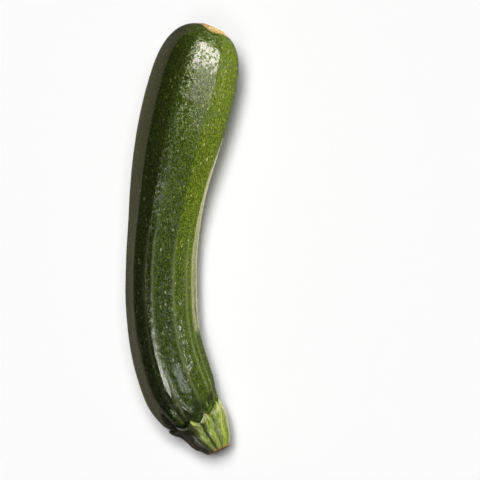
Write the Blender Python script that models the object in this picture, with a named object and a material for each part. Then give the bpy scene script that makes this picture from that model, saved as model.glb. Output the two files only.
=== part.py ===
# Courgette lying on its side: a curved, ridged fruit with a corky blossom scar, and the stub of its stem.
#
# Metres, +Z up. The fruit runs along Y, with its blossom end towards +Y and its stem towards -Y.
# The origin is on the surface that it lies on, under the middle of its bounding box.
# Angles round a section are in degrees from the top, and grow towards +X.

import math

import bpy
import numpy as np

MM = 0.001

# Centre line of the fruit, from the stem end to the blossom end: x, y and half the width across it, in mm
FRUIT_STATIONS = (
    (7.5, -97.0, 16.6),
    (-1.4, -74.0, 18.8),
    (-7.8, -52.0, 18.6),
    (-10.2, -24.0, 18.1),
    (-8.8, 6.0, 18.3),
    (-5.2, 32.0, 20.2),
    (3.1, 67.0, 22.3),
    (9.3, 89.0, 21.2),
    (15.8, 105.2, 19.9),
)
HEIGHT_RATIO = 0.97  # height of a section over its width
UNDERSIDE_CUT = 0.25  # how much of the round underside the flat resting strip takes away, mm
BLOSSOM_RISE = 4.0  # how far the blossom tip lifts off the line of the body, mm
STEM_DROOP = 2.5  # how far the stem end sinks below it, mm
END_BEND = 30.0  # length over which the ends rise and droop, mm

# The two rounded ends: length, and the exponent of the superellipse that closes them
STEM_END_LENGTH = 24.0
STEM_END_POWER = 2.15
BLOSSOM_END_LENGTH = 27.5
BLOSSOM_END_POWER = 2.7

# Ridges: five broad ones with two edges each, and five narrow ones between them
BROAD_RIDGES = 5
BROAD_RIDGE_ANGLE = -20.0  # middle of the broad ridge nearest the top
BROAD_RIDGE_HALF = 6.0  # half the angle between a broad ridge's two edges
NARROW_RIDGE_ANGLE = 41.0  # from the middle of a broad ridge to the narrow one after it
NARROW_RIDGE_DROP = 0.012  # how much lower a narrow ridge is, as a share of the radius
MEAN_FLAT = 30.0  # angle that a flat between ridges takes up on average
HOLLOW_AT_STEM = 0.052  # depth of the flats between ridges near the stem, as a share of the radius
HOLLOW_AT_BLOSSOM = 0.012
RIDGE_FADE = (45.0, 190.0)  # distances from the stem end between which the ridges fade, mm
SHOULDER_BULGE = 0.075  # how far the flats swell between the feet of the stem, as a share of the radius
SHOULDER_LENGTH = (7.0, 19.0)  # distances from the stem end between which the bulges turn into flats, mm
RIDGE_SWIRL = 10.0  # how far the ridges swing round on their way to the stem
SWIRL_LENGTH = 35.0  # length over which they do so, mm
RIDGE_TURN = 8.0  # how far they turn in the upper body
TURN_PLACE = (85.0, 130.0)  # distances from the stem end between which they do so, mm

# Blossom scar, a corky button on the tip; its rim's place and width are shares of its radius
SCAR_RADIUS = 6.6
SCAR_WAVES = ((0.07, 5, 0.0), (0.05, 2, 40.0))  # waves of its outline: height, count and start angle
SCAR_RIM = 0.55  # height of its rim, mm
SCAR_RIM_PLACE = 0.85
SCAR_RIM_WIDTH = 0.16
SCAR_HOLLOW = 0.7  # depth of its middle, mm
SCAR_HOLLOW_REACH = 0.75  # share of the radius that the hollow takes up

# Stem: x, y, z and radius from its foot to its cut end, in mm
STEM_STATIONS = (
    (6.0, -88.0, 14.2, 13.4),
    (10.3, -91.4, 14.2, 13.4),
    (13.0, -96.8, 14.4, 11.8),
    (15.9, -101.3, 14.9, 9.8),
    (18.4, -106.3, 15.6, 5.8),
)
STEM_GROOVES = (-36.0, -5.0, 26.0, 68.0, 104.0, 140.0, 176.0, 212.0, 248.0, 286.0)
STEM_GROOVE_DEPTH = 0.13  # as a share of the radius
STEM_TWIST = 19.0  # how far the lobes turn on their way up from the foot
TWIST_END = 0.6  # share of the stem's length by which they have turned
STEM_HEIGHT_RATIO = 0.88  # height of a section over its width
# The foot on the fruit's shoulder reaches these shares of the fruit's radius, with a point under each lobe
FOOT_REACH_INSIDE = 0.81  # on the side that the stem bends towards
FOOT_REACH_OUTSIDE = 0.62
FOOT_REACH_ABOVE = 0.67
FOOT_ABOVE_POWER = 8  # the higher, the narrower the stretch that takes the reach above and below
FOOT_VALLEY = 0.04
FOOT_POINT = 0.08
FOOT_RIB = 1.0  # height of the lobes where they leave the foot, mm
RIB_END = 0.15  # share of the stem's length in which a lobe gains that height
FOOT_LIFT = 0.7  # how far the side away from the bend swells above the foot, mm
LIFT_END = 0.2  # share of the stem's length in which it does so
FOOT_SPREAD = 0.50  # share of the stem's length over which the foot spreads
FOOT_FLARE = 1.5  # power that makes the spread hollow rather than straight
FOOT_LEAD = 0.36  # share by which the foot's side runs ahead, to clear the round end of the fruit
FOOT_EDGE = 0.6  # thickness of the foot's edge, mm
CUT_HOLLOW = 0.8  # depth of the cut face's middle, mm
GAP = 0.42  # from the stem to the fruit's curved skin, mm; flat facets leave about 0.3 of it

# Mesh: sides over a broad ridge's crown, over the wide and the slim flat, and over a lobe of the stem
CROWN_SIDES = 2
WIDE_FLAT_SIDES = 6
SLIM_FLAT_SIDES = 4
LOBE_STEPS = 6
# Where the mesh's rings lie
STEM_END_TURNS = (8, 17, 26, 35, 44, 53, 62, 71, 80, 89)  # degrees of the end's quarter round, from its tip
BODY_RINGS = 38
BLOSSOM_END_TURNS = (84, 77, 69, 61, 53, 45, 38, 32, 27, 23, 19, 15.5, 11, 5)
CUT_SHARES = (0.3, 0.55, 0.8, 0.93)  # shares of the cut face's radius
SIDE_RINGS = 15
UNDERSIDE_RINGS = 10
UNDERSIDE_TIP = 0.1  # share of the foot's reach at the last ring
SMALL_STEP = 0.01  # distance for taking directions along a curve, mm
SMALL_TURN = 0.5

SKIN_COLOUR = (0.045, 0.105, 0.018, 1.0)
STEM_COLOUR = (0.23, 0.34, 0.07, 1.0)


def smooth_curve(knots, values):
    """Return a function of the distance that runs through the values, smooth to its second derivative."""
    knots = np.asarray(knots, dtype=float)
    values = np.asarray(values, dtype=float)
    gaps = np.diff(knots)
    slopes = np.diff(values, axis=0) / gaps[:, None]
    matrix = np.eye(len(knots))
    target = np.zeros_like(values)
    for i in range(1, len(knots) - 1):
        matrix[i, i - 1:i + 2] = (gaps[i - 1], 2 * (gaps[i - 1] + gaps[i]), gaps[i])
        target[i] = 6 * (slopes[i] - slopes[i - 1])
    bends = np.linalg.solve(matrix, target)

    def curve(distance):
        distance = np.asarray(distance, dtype=float)
        i = np.clip(np.searchsorted(knots, distance) - 1, 0, len(gaps) - 1)
        gap = gaps[i][..., None]
        before = (distance - knots[i])[..., None] / gap
        after = 1 - before
        bend = (after**3 - after) * bends[i] + (before**3 - before) * bends[i + 1]
        return after * values[i] + before * values[i + 1] + bend * gap**2 / 6

    return curve


def line_lengths(points):
    """Distance along the straight pieces between points, up to each point."""
    steps = np.linalg.norm(np.diff(np.asarray(points, dtype=float), axis=0), axis=1)
    return np.concatenate(([0.0], np.cumsum(steps)))


def ease(value, start, end):
    """0 before start, 1 after end, and a smooth step between them."""
    t = np.clip((value - start) / (end - start), 0.0, 1.0)
    return t * t * (3 - 2 * t)


FRUIT_KNOTS = line_lengths([station[:2] for station in FRUIT_STATIONS])
FRUIT_LENGTH = FRUIT_KNOTS[-1]
fruit_curve = smooth_curve(FRUIT_KNOTS, FRUIT_STATIONS)

STEM_KNOTS = line_lengths([station[:3] for station in STEM_STATIONS])
STEM_LENGTH = STEM_KNOTS[-1]
stem_curve = smooth_curve(STEM_KNOTS, STEM_STATIONS)


def hollow_depth(distance):
    """Depth of the flats between the ridges at a distance from the stem end, as a share of the radius."""
    faded = ease(distance, *RIDGE_FADE)
    flats = HOLLOW_AT_STEM + (HOLLOW_AT_BLOSSOM - HOLLOW_AT_STEM) * faded
    bulging = 1 - ease(distance, *SHOULDER_LENGTH)
    return flats - (flats + SHOULDER_BULGE) * bulging


def ridge_swirl(distance):
    """How far the ridges have swung round at a distance from the stem end."""
    swirl = RIDGE_SWIRL * (1 - ease(distance, 0.0, SWIRL_LENGTH))
    return swirl + RIDGE_TURN * ease(distance, *TURN_PLACE)


def ridge_factor(angle, distance):
    """Radius of the ridged section over the radius of the plain round one."""
    module = 360.0 / BROAD_RIDGES
    turned = angle - BROAD_RIDGE_ANGLE - ridge_swirl(distance)
    # the wide flat lies after a broad ridge and the slim one before the next
    turned = (turned + module - NARROW_RIDGE_ANGLE) % module - (module - NARROW_RIDGE_ANGLE)
    from_broad = np.abs(turned)
    flat_width = np.where(turned > 0, NARROW_RIDGE_ANGLE, module - NARROW_RIDGE_ANGLE) - BROAD_RIDGE_HALF
    across = (from_broad - BROAD_RIDGE_HALF) / flat_width
    on_crown = from_broad < BROAD_RIDGE_HALF
    crown = (2 * BROAD_RIDGE_HALF / MEAN_FLAT) ** 2 * (1 - (from_broad / BROAD_RIDGE_HALF) ** 2)
    hollow = np.where(on_crown, crown, 4 * across * (1 - across) * (flat_width / MEAN_FLAT) ** 2)
    drop = np.where(on_crown, 0.0, across) * NARROW_RIDGE_DROP
    return 1 - hollow_depth(distance) * hollow - drop * (hollow_depth(distance) / HOLLOW_AT_STEM)


def section_angles():
    """Angles of the mesh's lines along the fruit, with one on each edge of the ridges."""
    module = 360.0 / BROAD_RIDGES
    corners = (-BROAD_RIDGE_HALF, BROAD_RIDGE_HALF, NARROW_RIDGE_ANGLE, module - BROAD_RIDGE_HALF)
    counts = (CROWN_SIDES, WIDE_FLAT_SIDES, SLIM_FLAT_SIDES)
    one = np.concatenate([np.linspace(a, b, n + 1)[:-1] for a, b, n in zip(corners, corners[1:], counts)])
    return BROAD_RIDGE_ANGLE + np.concatenate([one + module * k for k in range(BROAD_RIDGES)])


def end_factor(distance):
    """How far the two rounded ends draw the section in, from 1 along the body to 0 at each tip."""
    into_stem_end = np.clip(1 - distance / STEM_END_LENGTH, 0.0, 1.0)
    into_blossom_end = np.clip(1 - (FRUIT_LENGTH - distance) / BLOSSOM_END_LENGTH, 0.0, 1.0)
    stem_side = (1 - into_stem_end**STEM_END_POWER) ** (1 / STEM_END_POWER)
    blossom_side = (1 - into_blossom_end**BLOSSOM_END_POWER) ** (1 / BLOSSOM_END_POWER)
    return stem_side * blossom_side


def scar_relief(radius, angle):
    """Height of the scar's relief at a radius from the blossom tip: a raised rim round a hollow."""
    waves = sum(height * np.cos(np.radians(count * angle + start)) for height, count, start in SCAR_WAVES)
    place = radius / (SCAR_RADIUS * (1 + waves))
    rim = SCAR_RIM * np.exp(-(((place - SCAR_RIM_PLACE) / SCAR_RIM_WIDTH) ** 2))
    return rim - SCAR_HOLLOW * (1 - ease(place, 0.0, SCAR_HOLLOW_REACH))


def fruit_surface(angle, distance):
    """Points of the fruit's skin, in mm."""
    angle, distance = np.broadcast_arrays(np.asarray(angle, dtype=float), np.asarray(distance, dtype=float))
    station = fruit_curve(distance)
    step = fruit_curve(distance + SMALL_STEP)[..., :2] - fruit_curve(distance - SMALL_STEP)[..., :2]
    along = step / np.linalg.norm(step, axis=-1, keepdims=True)
    body_radius = station[..., 2]
    lowest = body_radius * HEIGHT_RATIO * ridge_factor(180.0, distance)
    rise = BLOSSOM_RISE * ease(distance, FRUIT_LENGTH - END_BEND, FRUIT_LENGTH)
    droop = STEM_DROOP * (1 - ease(distance, 0.0, END_BEND))
    centre_height = lowest - UNDERSIDE_CUT + rise - droop
    radius = body_radius * end_factor(distance) * ridge_factor(angle, distance)
    turn = np.radians(angle)
    sideways = radius * np.sin(turn)
    relief = np.where(distance > FRUIT_LENGTH / 2, scar_relief(radius, angle), 0.0)
    x = station[..., 0] + along[..., 1] * sideways + along[..., 0] * relief
    y = station[..., 1] - along[..., 0] * sideways + along[..., 1] * relief
    z = centre_height + radius * HEIGHT_RATIO * np.cos(turn)
    return np.stack((x, y, np.maximum(z, 0.0)), axis=-1)


def turn_share(turn, power):
    """Share of an end's length from its tip to the ring at this turn of its quarter round."""
    return 1 - math.cos(math.radians(turn)) ** (2 / power)


def fruit_rings():
    """Distances of the mesh rings from the stem end, close together round the two ends."""
    stem_end = [STEM_END_LENGTH * turn_share(turn, STEM_END_POWER) for turn in STEM_END_TURNS]
    body = list(np.linspace(STEM_END_LENGTH, FRUIT_LENGTH - BLOSSOM_END_LENGTH, BODY_RINGS))
    from_blossom = [BLOSSOM_END_LENGTH * turn_share(turn, BLOSSOM_END_POWER) for turn in BLOSSOM_END_TURNS]
    return stem_end + body + [FRUIT_LENGTH - distance for distance in from_blossom]


def off_crown(lobe_angle):
    """0 on the crowns of the stem's lobes and 1 in the grooves between them."""
    edges = np.array(STEM_GROOVES + (STEM_GROOVES[0] + 360.0,))
    turned = (lobe_angle - edges[0]) % 360.0 + edges[0]
    lobe = np.clip(np.searchsorted(edges, turned, side="right") - 1, 0, len(edges) - 2)
    across = (turned - edges[lobe]) / (edges[lobe + 1] - edges[lobe])
    return np.abs(2 * across - 1)


def foot_distance(lobe_angle, share_of_foot):
    """Distance from the fruit's stem end of a place under the foot; its edge is at share 1."""
    turn = np.radians(lobe_angle + STEM_TWIST)
    inside = (1 + np.sin(turn)) / 2
    at_side = FOOT_REACH_INSIDE * inside + FOOT_REACH_OUTSIDE * (1 - inside)
    pointed = 1 - np.sin(np.radians(90 * off_crown(lobe_angle)))
    reach = at_side + (FOOT_REACH_ABOVE - at_side) * np.cos(turn) ** FOOT_ABOVE_POWER
    reach = share_of_foot * (reach - FOOT_VALLEY + (FOOT_VALLEY + FOOT_POINT) * pointed)
    return STEM_END_LENGTH * (1 - (1 - reach**STEM_END_POWER) ** (1 / STEM_END_POWER))


def above_skin(angle, distance, height):
    """Points at a height above the fruit's skin, measured square to it."""
    across = fruit_surface(angle + SMALL_TURN, distance) - fruit_surface(angle - SMALL_TURN, distance)
    before = np.maximum(distance - SMALL_STEP, 0.0)
    onward = fruit_surface(angle, distance + SMALL_STEP) - fruit_surface(angle, before)
    normal = np.cross(across, onward)
    normal /= np.linalg.norm(normal, axis=-1, keepdims=True)
    return fruit_surface(angle, distance) + normal * np.asarray(height)[..., None]


def stem_tube(lobe_angle, place):
    """Points of the stem's lobed side, at a place from 0 at its foot to 1 at its cut."""
    distance = place * STEM_LENGTH
    station = stem_curve(distance)
    along = stem_curve(distance + SMALL_STEP)[..., :3] - stem_curve(distance - SMALL_STEP)[..., :3]
    along /= np.linalg.norm(along, axis=-1, keepdims=True)
    side = np.stack((-along[..., 1], along[..., 0], np.zeros_like(along[..., 0])), axis=-1)
    side /= np.linalg.norm(side, axis=-1, keepdims=True)
    up = np.cross(along, side)
    turn = np.radians(lobe_angle + STEM_TWIST * (1 - ease(place, 0.0, TWIST_END)))
    lobe = np.sqrt(1 - off_crown(lobe_angle) ** 2)
    radius = station[..., 3] * (1 - STEM_GROOVE_DEPTH * (1 - lobe))
    sideways = (radius * np.sin(turn))[..., None] * side
    upward = (radius * STEM_HEIGHT_RATIO * np.cos(turn))[..., None] * up
    return station[..., :3] + sideways + upward


def stem_surface(lobe_angle, place):
    """Points of the stem's side, which spreads into the foot on the fruit's shoulder."""
    turned = lobe_angle + STEM_TWIST
    rib = FOOT_RIB * ease(place, 0.0, RIB_END) * np.sqrt(1 - off_crown(lobe_angle) ** 2)
    lift = FOOT_LIFT * ease(place, 0.0, LIFT_END) * (1 - np.sin(np.radians(turned))) / 2
    edge = above_skin(turned, foot_distance(lobe_angle, 1.0), GAP + FOOT_EDGE + rib + lift)
    spread = (1 - ease(place, 0.0, FOOT_SPREAD)) ** FOOT_FLARE
    onward = place + FOOT_LEAD * (1 - place) ** 2
    return spread * edge + (1 - spread) * stem_tube(lobe_angle, np.full(len(lobe_angle), onward))


def closed_mesh(name, rings, first_pole, last_pole):
    """Make a mesh object from rings of points, closed by a fan of triangles at each end."""
    sides = len(rings[0])
    points = [first_pole] + [point for ring in rings for point in ring] + [last_pole]
    faces = []
    for k in range(sides):
        faces.append((0, 1 + (k + 1) % sides, 1 + k))
    for j in range(len(rings) - 1):
        here = 1 + j * sides
        there = here + sides
        for k in range(sides):
            nxt = (k + 1) % sides
            faces.append((here + k, here + nxt, there + nxt, there + k))
    start = 1 + (len(rings) - 1) * sides
    for k in range(sides):
        faces.append((start + k, start + (k + 1) % sides, len(points) - 1))
    mesh = bpy.data.meshes.new(name)
    mesh.from_pydata([tuple(MM * c for c in point) for point in points], [], faces)
    mesh.update()
    mesh.shade_smooth()
    obj = bpy.data.objects.new(name, mesh)
    bpy.context.scene.collection.objects.link(obj)
    return obj


def plain_material(name, colour, roughness):
    material = bpy.data.materials.new(name)
    material.use_nodes = True
    shader = material.node_tree.nodes["Principled BSDF"]
    shader.inputs["Base Color"].default_value = colour
    shader.inputs["Roughness"].default_value = roughness
    shader.inputs["Metallic"].default_value = 0.0
    return material


def make_fruit():
    angles = section_angles()
    rings = [fruit_surface(angles + ridge_swirl(distance), distance) for distance in fruit_rings()]
    stem_pole = fruit_surface(0.0, 0.0)
    blossom_pole = fruit_surface(0.0, FRUIT_LENGTH)
    fruit = closed_mesh("fruit", rings, stem_pole, blossom_pole)
    fruit.data.materials.append(plain_material("skin", SKIN_COLOUR, 0.35))
    return fruit


def make_stem():
    edges = STEM_GROOVES + (STEM_GROOVES[0] + 360.0,)
    lobe_angles = np.concatenate([np.linspace(a, b, LOBE_STEPS + 1)[:-1] for a, b in zip(edges, edges[1:])])
    side = [stem_surface(lobe_angles, place) for place in np.linspace(1.0, 0.0, SIDE_RINGS)]
    cut_edge = side[0]
    middle = cut_edge.mean(axis=0)
    inward = side[1].mean(axis=0) - middle
    inward *= CUT_HOLLOW / np.linalg.norm(inward)
    face = [middle + (cut_edge - middle) * share + inward * (1 - share) for share in CUT_SHARES]
    underside = [
        above_skin(lobe_angles + STEM_TWIST, foot_distance(lobe_angles, share), GAP)
        for share in np.linspace(1.0, UNDERSIDE_TIP, UNDERSIDE_RINGS)
    ]
    tip = above_skin(np.zeros(1), np.full(1, 5 * SMALL_STEP), GAP)[0]
    stem = closed_mesh("stem", face + side + underside, middle + inward, tip)
    stem.data.materials.append(plain_material("stem", STEM_COLOUR, 0.5))
    return stem


def centre_on_origin(objects):
    """Move the meshes so that the origin is under the middle of their common box."""
    corners = np.array([vertex.co for obj in objects for vertex in obj.data.vertices])
    low = corners.min(axis=0)
    high = corners.max(axis=0)
    for obj in objects:
        for vertex in obj.data.vertices:
            vertex.co.x -= (low[0] + high[0]) / 2
            vertex.co.y -= (low[1] + high[1]) / 2
            vertex.co.z -= low[2]


for old in list(bpy.data.objects):
    bpy.data.objects.remove(old, do_unlink=True)

centre_on_origin([make_fruit(), make_stem()])
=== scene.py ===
import math

import bpy
import numpy as np
from mathutils import Euler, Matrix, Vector, noise


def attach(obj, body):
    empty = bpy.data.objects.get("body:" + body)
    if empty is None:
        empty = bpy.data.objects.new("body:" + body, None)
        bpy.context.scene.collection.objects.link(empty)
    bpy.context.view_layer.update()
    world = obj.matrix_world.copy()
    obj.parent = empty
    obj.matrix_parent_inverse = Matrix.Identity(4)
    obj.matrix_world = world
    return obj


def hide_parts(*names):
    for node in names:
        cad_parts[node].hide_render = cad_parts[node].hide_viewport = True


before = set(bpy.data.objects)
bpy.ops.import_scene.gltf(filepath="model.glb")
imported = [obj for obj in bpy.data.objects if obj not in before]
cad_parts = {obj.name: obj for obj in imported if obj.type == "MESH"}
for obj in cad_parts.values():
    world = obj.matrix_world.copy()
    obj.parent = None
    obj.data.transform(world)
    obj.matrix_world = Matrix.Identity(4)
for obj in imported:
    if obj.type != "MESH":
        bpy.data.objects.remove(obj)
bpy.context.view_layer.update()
print("frame loaded")

mm = 0.001  # every length below is in millimetres, and every angle in degrees


def toLinear(hexColour):
    # sRGB hex to the linear colour that the shaders work in
    parts = [int(hexColour[i:i + 2], 16) / 255 for i in (1, 3, 5)]
    return tuple(c / 12.92 if c <= 0.04045 else ((c + 0.055) / 1.055) ** 2.4 for c in parts) + (1.0,)


def addNode(tree, kind, settings=None, links=None):
    # kind is the type without ShaderNode; links maps an input to a value or to another node's output
    node = tree.nodes.new("ShaderNode" + kind)
    for name, value in (settings or {}).items():
        setattr(node, name, value)
    for name, value in (links or {}).items():
        if isinstance(value, bpy.types.NodeSocket):
            tree.links.new(value, node.inputs[name])
        else:
            node.inputs[name].default_value = value
    return node


# settings that many nodes share
times = {"operation": "MULTIPLY"}
inColour = {"data_type": "RGBA"}
smooth = {"interpolation_type": "SMOOTHSTEP"}


def newMaterial(name):
    material = bpy.data.materials.new(name)
    material.use_nodes = True
    return material, material.node_tree.nodes["Principled BSDF"]


def ease(value, start, end):
    # 0 before start, 1 after end
    t = np.clip((value - start) / (end - start), 0.0, 1.0)
    return t * t * (3 - 2 * t)


def withinHalfTurn(angle):
    # the same angle, from -180 to 180
    return (angle + 180.0) % 360.0 - 180.0


def fadeAround(value, middle, width):
    # 1 at the middle, fading out to both sides
    return np.exp(-(((value - middle) / width) ** 2))


def smoothCurve(knots, values):
    # runs through the values, smooth to its second derivative
    knots, values = np.asarray(knots, dtype=float), np.asarray(values, dtype=float)
    gaps = np.diff(knots)
    slopes = np.diff(values, axis=0) / gaps[:, None]
    matrix, target = np.eye(len(knots)), np.zeros_like(values)
    for i in range(1, len(knots) - 1):
        matrix[i, i - 1:i + 2] = (gaps[i - 1], 2 * (gaps[i - 1] + gaps[i]), gaps[i])
        target[i] = 6 * (slopes[i] - slopes[i - 1])
    bends = np.linalg.solve(matrix, target)

    def curve(distance):
        distance = np.asarray(distance, dtype=float)
        i = np.clip(np.searchsorted(knots, distance) - 1, 0, len(gaps) - 1)
        gap = gaps[i][..., None]
        before = (distance - knots[i])[..., None] / gap
        after = 1 - before
        bend = (after**3 - after) * bends[i] + (before**3 - before) * bends[i + 1]
        return after * values[i] + before * values[i + 1] + bend * gap**2 / 6

    return curve


def lineLengths(points):
    # how far along the line each of its points lies
    steps = np.linalg.norm(np.diff(np.asarray(points, dtype=float), axis=0), axis=1)
    return np.concatenate(([0.0], np.cumsum(steps)))


def lumps(points, size, seed):
    # smooth noise from -1 to 1 at each point, with lumps of about this size
    shift = Vector((seed * 17.3, seed * 5.1, seed * 9.7))
    flat = points.reshape(-1, 3) / size
    values = [noise.noise(Vector(p) + shift) for p in flat]
    return np.array(values).reshape(points.shape[:-1])


def closedMesh(name, rings, firstPole, lastPole):
    # rings of points from one end to the other, with a fan of triangles at each end
    rings = np.asarray(rings)
    count, sides = rings.shape[:2]
    points = np.concatenate(([firstPole], rings.reshape(-1, 3), [lastPole])) * mm
    here = 1 + np.arange(count - 1)[:, None] * sides + np.arange(sides)[None, :]
    beside = 1 + np.arange(count - 1)[:, None] * sides + (np.arange(sides)[None, :] + 1) % sides
    quads = np.stack((here, beside, beside + sides, here + sides), axis=-1).reshape(-1, 4).tolist()
    k = np.arange(sides)
    start = 1 + (count - 1) * sides
    first = np.stack((np.zeros_like(k), 1 + (k + 1) % sides, 1 + k), axis=-1).tolist()
    last = np.stack((start + k, start + (k + 1) % sides, np.full_like(k, len(points) - 1)), axis=-1).tolist()
    mesh = bpy.data.meshes.new(name)
    mesh.from_pydata(points.tolist(), [], first + quads + last)
    mesh.update()
    mesh.shade_smooth()
    piece = bpy.data.objects.new(name, mesh)
    bpy.context.scene.collection.objects.link(piece)
    return piece


def keepOnMesh(piece, name, rings, firstValue, lastValue):
    # stores a number or a vector at every point, for the materials
    isVector = np.ndim(rings) == 3
    parts = [np.reshape(part, (-1, 3 if isVector else 1)) for part in (firstValue, rings, lastValue)]
    kept = piece.data.attributes.new(name, "FLOAT_VECTOR" if isVector else "FLOAT", "POINT")
    kept.data.foreach_set("vector" if isVector else "value", np.concatenate(parts).ravel())


# the fruit has the same curve, section and ridges as the solid, on a finer mesh with the skin's relief

fruitShape = {
    "stations": (  # centre line from the stem end to the blossom end: x, y and half the width
        (7.5, -97.0, 16.6), (-1.4, -74.0, 18.8), (-7.8, -52.0, 18.6), (-10.2, -24.0, 18.1), (-8.8, 6.0, 18.3),
        (-5.2, 32.0, 20.2), (3.1, 67.0, 22.3), (9.3, 89.0, 21.2), (15.8, 105.2, 19.9)),
    "originShift": (0.2052, -0.539),  # the solid is centred on the origin by this much
    "heightRatio": 0.97,
    "undersideCut": 0.25,  # what lying on a table flattens off
    "blossomRise": 4.0,  # how far this end is raised and the other lowered, and over what length
    "stemDroop": 2.5,
    "endBend": 30.0,
    "stemEnd": (24.0, 2.15),  # length and roundness of the end
    "blossomEnd": (27.5, 2.7),
    "broadRidges": 5,
    "broadRidgeAngle": -20.0,
    "broadRidgeHalf": 6.0,
    "narrowRidgeAngle": 41.0,  # from the middle of a broad ridge to the narrow one after it
    "narrowRidgeDrop": 0.012,  # how much lower it is, as a share of the radius
    "meanFlat": 30.0,
    "hollowAtStem": 0.052,  # how hollow the flats are, as a share of the radius
    "hollowAtBlossom": 0.012,
    "ridgeFade": (45.0, 190.0),
    "shoulderBulge": 0.075,  # round the stem they bulge instead
    "shoulderLength": (7.0, 19.0),
    "ridgeSwirl": 10.0,  # how far the ridges turn near the stem, and over what length
    "swirlLength": 35.0,
    "ridgeTurn": 8.0,  # how far they turn over the middle of the fruit
    "turnPlace": (85.0, 130.0),
    "rings": 424,
    "sidesPerRidge": (8, 22, 16),  # over a broad ridge's crown, a wide flat and a slim flat

    # relief of the skin
    "inset": 0.14,  # keeps the relief inside the solid's box
    "reliefStretch": 0.6,  # the fine relief is longer than wide
    "swell": (17.0, 0.05),  # size and height of broad, barely felt lumps
    "dapple": (2.4, 0.16),  # the hammered look, strongest near the stem and on the right
    "dappleFade": (50.0, 130.0),
    "dappleAtBlossom": 0.2,  # share of it that is left towards the blossom end
    "dappleSide": (0.45, 0.0, 25.0),  # its share on the left, and the angles between which it grows
    "peel": (1.7, 0.03),  # orange peel
    "peelPlace": (176.0, 9.0, 3.2),  # it is rougher here: distance, length and how much rougher
    "backSwell": (181.0, 6.0, 0.35, 10.0),  # a low swell on the back: distance, length, height and angle
    "crestHeight": 0.04,  # a fine raised line along each ridge edge
    "crestWidth": 0.8,
    "crestFade": (80.0, 120.0),
    "crestEnds": (0.4, 0.9),  # it fades out over both ends, between these shares of the girth
    "crestRound": (3.4, 0.30),  # near the stem the edges are rounded: reach to each side, slope taken off
    "roundFade": (45.0, 75.0),

    # the corky blossom scar
    "scarRadius": 6.6,
    "scarWaves": ((0.07, 5, 0.0), (0.05, 2, 40.0)),  # its wavy edge: height, number of waves and angle
    "scarRim": (0.55, 0.85, 0.16),  # height, place and width, the last two as shares of the radius
    "scarHollow": (0.7, 0.75),  # depth and reach
    "scarEdge": (0.8, 1.3),  # the skin's relief begins between these shares of the radius
    "corkGrain": (0.9, 0.16),  # size and height
    "corkEdge": (0.95, 1.15),  # the grain ends between these
    "corkSpread": (0.5, 25.0),  # how much further the cork reaches on top, and at what angle
    "offScar": 4.0,  # stands for every place far from the scar

    # where the skin is a lighter green, in shares from 0 to 1
    "lightAtStem": 0.03,
    "lightAtBlossom": 0.31,
    "lighterPlace": (40.0, 165.0),
    "onRight": (0.45, 75.0, 45.0),  # more on the right side: share, angle and width
    "onRightAtStem": 0.45,  # how much of it shows at the stem
    "onRightFlat": 0.28,  # and more on the flats past the ridge that runs along the middle
    "onRightStep": (19.0, 24.0),
    "flatAtStem": 0.3,
    "creamReflection": (93.0, 4.0),  # painted reflection: a cream streak on the ridge along the hollow side, where the wax would mirror the pale floor: its angle and width
    "reflectionStart": (40.0, 66.0),
    "reflectionEnd": (150.0, 175.0),
    # painted shade: darker green places between the stem's feet, on top only: x, y and half sizes
    "stemShadePlaces": ((8.0, -83.0, 3.3, 4.4), (14.2, -79.0, 1.8, 3.8)),
    "stemShadeAbove": 15.0,

    # share of the dull pits in the wax, over the body and at the blossom end
    "bareBody": 0.35,
    "bareBlossom": (140.0, 170.0),
    "bareLeft": 0.12,  # on the left of the angles below, at that end; on their right it is 1
    "bareStep": (-34.0, -10.0),
}

fruitKnots = lineLengths([station[:2] for station in fruitShape["stations"]])
fruitLength = fruitKnots[-1]
fruitCurve = smoothCurve(fruitKnots, fruitShape["stations"])
ridgeModule = 360.0 / fruitShape["broadRidges"]


def ridgeSwirl(distance):
    # how far the ridges have turned at this distance from the stem end
    swirl = fruitShape["ridgeSwirl"] * (1 - ease(distance, 0.0, fruitShape["swirlLength"]))
    return swirl + fruitShape["ridgeTurn"] * ease(distance, *fruitShape["turnPlace"])


def fromBroadRidge(angle, distance):
    # degrees from the middle of the place's broad ridge, below zero on the slim flat before it
    before = ridgeModule - fruitShape["narrowRidgeAngle"]
    turned = angle - fruitShape["broadRidgeAngle"] - ridgeSwirl(distance)
    return (turned + before) % ridgeModule - before


def hollowDepth(distance):
    # as a share of the radius, and below zero where the flats bulge
    faded = ease(distance, *fruitShape["ridgeFade"])
    flats = fruitShape["hollowAtStem"] + (fruitShape["hollowAtBlossom"] - fruitShape["hollowAtStem"]) * faded
    bulging = 1 - ease(distance, *fruitShape["shoulderLength"])
    return flats - (flats + fruitShape["shoulderBulge"]) * bulging


def ridgeFactor(angle, distance):
    # the radius as a share of the one on a broad ridge
    half, narrow, mean = fruitShape["broadRidgeHalf"], fruitShape["narrowRidgeAngle"], fruitShape["meanFlat"]
    turned = fromBroadRidge(angle, distance)
    flatWidth = np.where(turned > 0, narrow, ridgeModule - narrow) - half
    fromBroad = np.abs(turned)
    across = (fromBroad - half) / flatWidth
    onCrown = fromBroad < half
    crown = (2 * half / mean) ** 2 * (1 - (fromBroad / half) ** 2)
    hollow = np.where(onCrown, crown, 4 * across * (1 - across) * (flatWidth / mean) ** 2)
    drop = np.where(onCrown, 0.0, across) * fruitShape["narrowRidgeDrop"]
    depth = hollowDepth(distance)
    return 1 - depth * hollow - drop * (depth / fruitShape["hollowAtStem"])


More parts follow.
